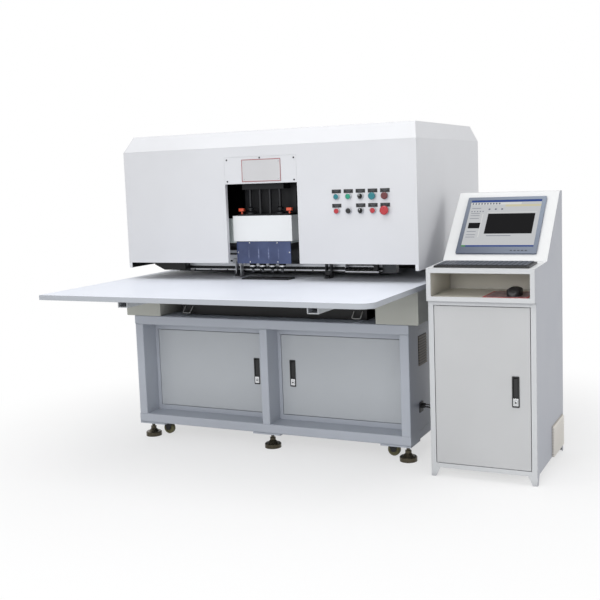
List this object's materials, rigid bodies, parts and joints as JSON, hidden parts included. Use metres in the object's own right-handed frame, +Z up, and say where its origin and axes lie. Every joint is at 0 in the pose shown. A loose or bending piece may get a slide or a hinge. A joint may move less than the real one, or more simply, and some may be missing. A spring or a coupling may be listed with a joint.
{
  "type": "punching machine with console",
  "caption": "Floor-standing sheet punching machine: a long head over a work table on a cabinet base, with punches, feed, push buttons and a separate control console.",
  "frame": {"origin": "middle of the outline of machine and console, on the floor", "axes": "+X to the operator's right, +Y from the operator to the back, +Z up"},
  "size_m": [2.399, 1.857, 1.713],
  "materials": {
    "base_frame": "grey-blue paint",
    "base_panels": "grey-blue paint",
    "louvre_vents": "pressed sheet, painted",
    "door_jambs": "grey-blue paint",
    "base_door_left": "satin grey paint",
    "base_door_right": "satin grey paint",
    "lock_dish_left": "black moulding",
    "lock_dish_right": "black moulding",
    "lock_lever_left": "black moulding",
    "lock_lever_right": "black moulding",
    "levelling_feet": "dark bronze casting",
    "caster_forks": "pressed steel, black",
    "caster_wheel_1": "nylon",
    "caster_wheel_2": "nylon",
    "caster_wheel_3": "nylon",
    "caster_wheel_4": "nylon",
    "table_top": "pale blue-white gloss",
    "table_side_beams": "beige-grey paint",
    "table_arms": "pale grey paint",
    "die_plate": "blackened steel",
    "scrap_tray": "dark grey sheet",
    "c_frame": "dark grey paint",
    "housing_shell": "off-white paint",
    "front_panel": "off-white paint",
    "punch_mount": "light grey",
    "punch_cover": "white paint",
    "guard_plate": "blue acrylic sheet",
    "punch_cylinders": "black anodised",
    "punch_1": "blackened steel with a bright ring",
    "punch_2": "blackened steel with a bright ring",
    "punch_3": "blackened steel with a bright ring",
    "punch_4": "blackened steel with a bright ring",
    "air_fittings": "orange moulding",
    "y_rails": "ground steel",
    "cross_beam": "clear anodised",
    "feed_drive": "black paint",
    "drag_chain": "black moulding",
    "clamp_carriage": "milled steel",
    "clamp_jaws": "milled steel",
    "button_bezels": "satin metal rim",
    "start_button": "coloured cap",
    "run_button": "coloured cap",
    "mode_selector": "black knob",
    "reset_button": "coloured cap",
    "power_lamp": "dark red lens",
    "stop_button": "coloured cap",
    "jog_button": "black cap",
    "feed_selector": "black knob",
    "release_button": "coloured cap",
    "emergency_stop": "red mushroom head",
    "console_cabinet": "white paint",
    "console_door": "grey paint",
    "console_lock_dish": "black moulding",
    "console_lock_lever": "black moulding",
    "monitor": "blue-grey frame around a screen",
    "keyboard": "dark keys",
    "mouse_and_pad": "dark moulding on a cloth pad",
    "cable_glands": "black moulding",
    "power_cable": "black sheath",
    "signal_cable": "black sheath"
  },
  "bodies": {
    "machine": {"base_frame": "base_frame", "base_panels": "base_panels", "louvre_vents": "louvre_vents", "door_jambs": "door_jambs", "levelling_feet": "levelling_feet", "caster_forks": "caster_forks", "table_top": "table_top", "table_side_beams": "table_side_beams", "table_arms": "table_arms", "die_plate": "die_plate", "c_frame": "c_frame", "housing_shell": "housing_shell", "front_panel": "front_panel", "punch_mount": "punch_mount", "punch_cover": "punch_cover", "guard_plate": "guard_plate", "punch_cylinders": "punch_cylinders", "air_fittings": "air_fittings", "y_rails": "y_rails", "button_bezels": "button_bezels", "power_lamp": "power_lamp", "console_cabinet": "console_cabinet", "monitor": "monitor", "keyboard": "keyboard", "mouse_and_pad": "mouse_and_pad", "cable_glands": "cable_glands", "power_cable": "power_cable", "signal_cable": "signal_cable"},
    "door_left": {"base_door_left": "base_door_left", "lock_dish_left": "lock_dish_left"},
    "lever_left": {"lock_lever_left": "lock_lever_left"},
    "door_right": {"base_door_right": "base_door_right", "lock_dish_right": "lock_dish_right"},
    "lever_right": {"lock_lever_right": "lock_lever_right"},
    "console_door": {"console_door": "console_door", "console_lock_dish": "console_lock_dish"},
    "console_lever": {"console_lock_lever": "console_lock_lever"},
    "wheel_1": {"caster_wheel_1": "caster_wheel_1"},
    "wheel_2": {"caster_wheel_2": "caster_wheel_2"},
    "wheel_3": {"caster_wheel_3": "caster_wheel_3"},
    "wheel_4": {"caster_wheel_4": "caster_wheel_4"},
    "tray": {"scrap_tray": "scrap_tray"},
    "punch_body_1": {"punch_1": "punch_1"},
    "punch_body_2": {"punch_2": "punch_2"},
    "punch_body_3": {"punch_3": "punch_3"},
    "punch_body_4": {"punch_4": "punch_4"},
    "gantry": {"cross_beam": "cross_beam", "drag_chain": "drag_chain", "feed_drive": "feed_drive"},
    "carriage": {"clamp_carriage": "clamp_carriage"},
    "jaws": {"clamp_jaws": "clamp_jaws"},
    "start_button_body": {"start_button": "start_button"},
    "run_button_body": {"run_button": "run_button"},
    "reset_button_body": {"reset_button": "reset_button"},
    "stop_button_body": {"stop_button": "stop_button"},
    "jog_button_body": {"jog_button": "jog_button"},
    "release_button_body": {"release_button": "release_button"},
    "emergency_stop_body": {"emergency_stop": "emergency_stop"},
    "mode_selector_body": {"mode_selector": "mode_selector"},
    "feed_selector_body": {"feed_selector": "feed_selector"}
  },
  "joints": [
    {"name": "base_door_left_hinge", "type": "hinge", "parent": "machine", "child": "door_left", "pos_m": [-1.023, -0.106, 0.394], "axis": [0, 0, -1], "range_deg": [0, 90]},
    {"name": "lock_lever_left_hinge", "type": "hinge", "parent": "door_left", "child": "lever_left", "pos_m": [-0.3945, -0.108, 0.462], "axis": [-1, 0, 0], "range_deg": [0, 45]},
    {"name": "base_door_right_hinge", "type": "hinge", "parent": "machine", "child": "door_right", "pos_m": [0.454, -0.106, 0.394], "axis": [0, 0, 1], "range_deg": [0, 90]},
    {"name": "lock_lever_right_hinge", "type": "hinge", "parent": "door_right", "child": "lever_right", "pos_m": [-0.1745, -0.108, 0.462], "axis": [-1, 0, 0], "range_deg": [0, 45]},
    {"name": "console_door_hinge", "type": "hinge", "parent": "machine", "child": "console_door", "pos_m": [0.7135, -0.3515, 0.45], "axis": [0, 0, -1], "range_deg": [0, 100]},
    {"name": "console_lever_hinge", "type": "hinge", "parent": "console_door", "child": "console_lever", "pos_m": [1.091, -0.3535, 0.497], "axis": [-1, 0, 0], "range_deg": [0, 45]},
    {"name": "caster_wheel_1_spin", "type": "hinge", "parent": "machine", "child": "wheel_1", "pos_m": [-0.9745, -0.1325, 0.0425], "axis": [0, 1, 0], "continuous": true},
    {"name": "caster_wheel_2_spin", "type": "hinge", "parent": "machine", "child": "wheel_2", "pos_m": [0.4055, -0.1325, 0.0425], "axis": [0, 1, 0], "continuous": true},
    {"name": "caster_wheel_3_spin", "type": "hinge", "parent": "machine", "child": "wheel_3", "pos_m": [-0.9745, 0.7595, 0.0425], "axis": [0, 1, 0], "continuous": true},
    {"name": "caster_wheel_4_spin", "type": "hinge", "parent": "machine", "child": "wheel_4", "pos_m": [0.4055, 0.7595, 0.0425], "axis": [0, 1, 0], "continuous": true},
    {"name": "scrap_tray_slide", "type": "slide", "parent": "machine", "child": "tray", "axis": [0, -1, 0], "range_m": [0, 0.35]},
    {"name": "punch_1_slide", "type": "slide", "parent": "machine", "child": "punch_body_1", "axis": [0, 0, -1], "range_m": [0, 0.04]},
    {"name": "punch_2_slide", "type": "slide", "parent": "machine", "child": "punch_body_2", "axis": [0, 0, -1], "range_m": [0, 0.04]},
    {"name": "punch_3_slide", "type": "slide", "parent": "machine", "child": "punch_body_3", "axis": [0, 0, -1], "range_m": [0, 0.04]},
    {"name": "punch_4_slide", "type": "slide", "parent": "machine", "child": "punch_body_4", "axis": [0, 0, -1], "range_m": [0, 0.04]},
    {"name": "gantry_slide", "type": "slide", "parent": "machine", "child": "gantry", "axis": [0, 1, 0], "range_m": [0, 0.4]},
    {"name": "carriage_slide", "type": "slide", "parent": "gantry", "child": "carriage", "axis": [1, 0, 0], "range_m": [-0.28, 0.04]},
    {"name": "clamp_jaw_hinge", "type": "hinge", "parent": "carriage", "child": "jaws", "pos_m": [-0.2595, -0.0128, 0.946], "axis": [-1, 0, 0], "range_deg": [0, 14]},
    {"name": "start_button_press", "type": "slide", "parent": "machine", "child": "start_button_body", "axis": [0, 1, 0], "range_m": [0, 0.004], "stiffness_N_per_m": 600},
    {"name": "run_button_press", "type": "slide", "parent": "machine", "child": "run_button_body", "axis": [0, 1, 0], "range_m": [0, 0.004], "stiffness_N_per_m": 600},
    {"name": "reset_button_press", "type": "slide", "parent": "machine", "child": "reset_button_body", "axis": [0, 1, 0], "range_m": [0, 0.004], "stiffness_N_per_m": 600},
    {"name": "stop_button_press", "type": "slide", "parent": "machine", "child": "stop_button_body", "axis": [0, 1, 0], "range_m": [0, 0.004], "stiffness_N_per_m": 600},
    {"name": "jog_button_press", "type": "slide", "parent": "machine", "child": "jog_button_body", "axis": [0, 1, 0], "range_m": [0, 0.004], "stiffness_N_per_m": 600},
    {"name": "release_button_press", "type": "slide", "parent": "machine", "child": "release_button_body", "axis": [0, 1, 0], "range_m": [0, 0.004], "stiffness_N_per_m": 600},
    {"name": "emergency_stop_press", "type": "slide", "parent": "machine", "child": "emergency_stop_body", "axis": [0, 1, 0], "range_m": [0, 0.006], "stiffness_N_per_m": 600},
    {"name": "mode_selector_turn", "type": "hinge", "parent": "machine", "child": "mode_selector_body", "pos_m": [0.2815, -0.1925, 1.352], "axis": [0, 1, 0], "range_deg": [-45, 45]},
    {"name": "feed_selector_turn", "type": "hinge", "parent": "machine", "child": "feed_selector_body", "pos_m": [0.2815, -0.1925, 1.2795], "axis": [0, 1, 0], "range_deg": [-45, 45]}
  ]
}
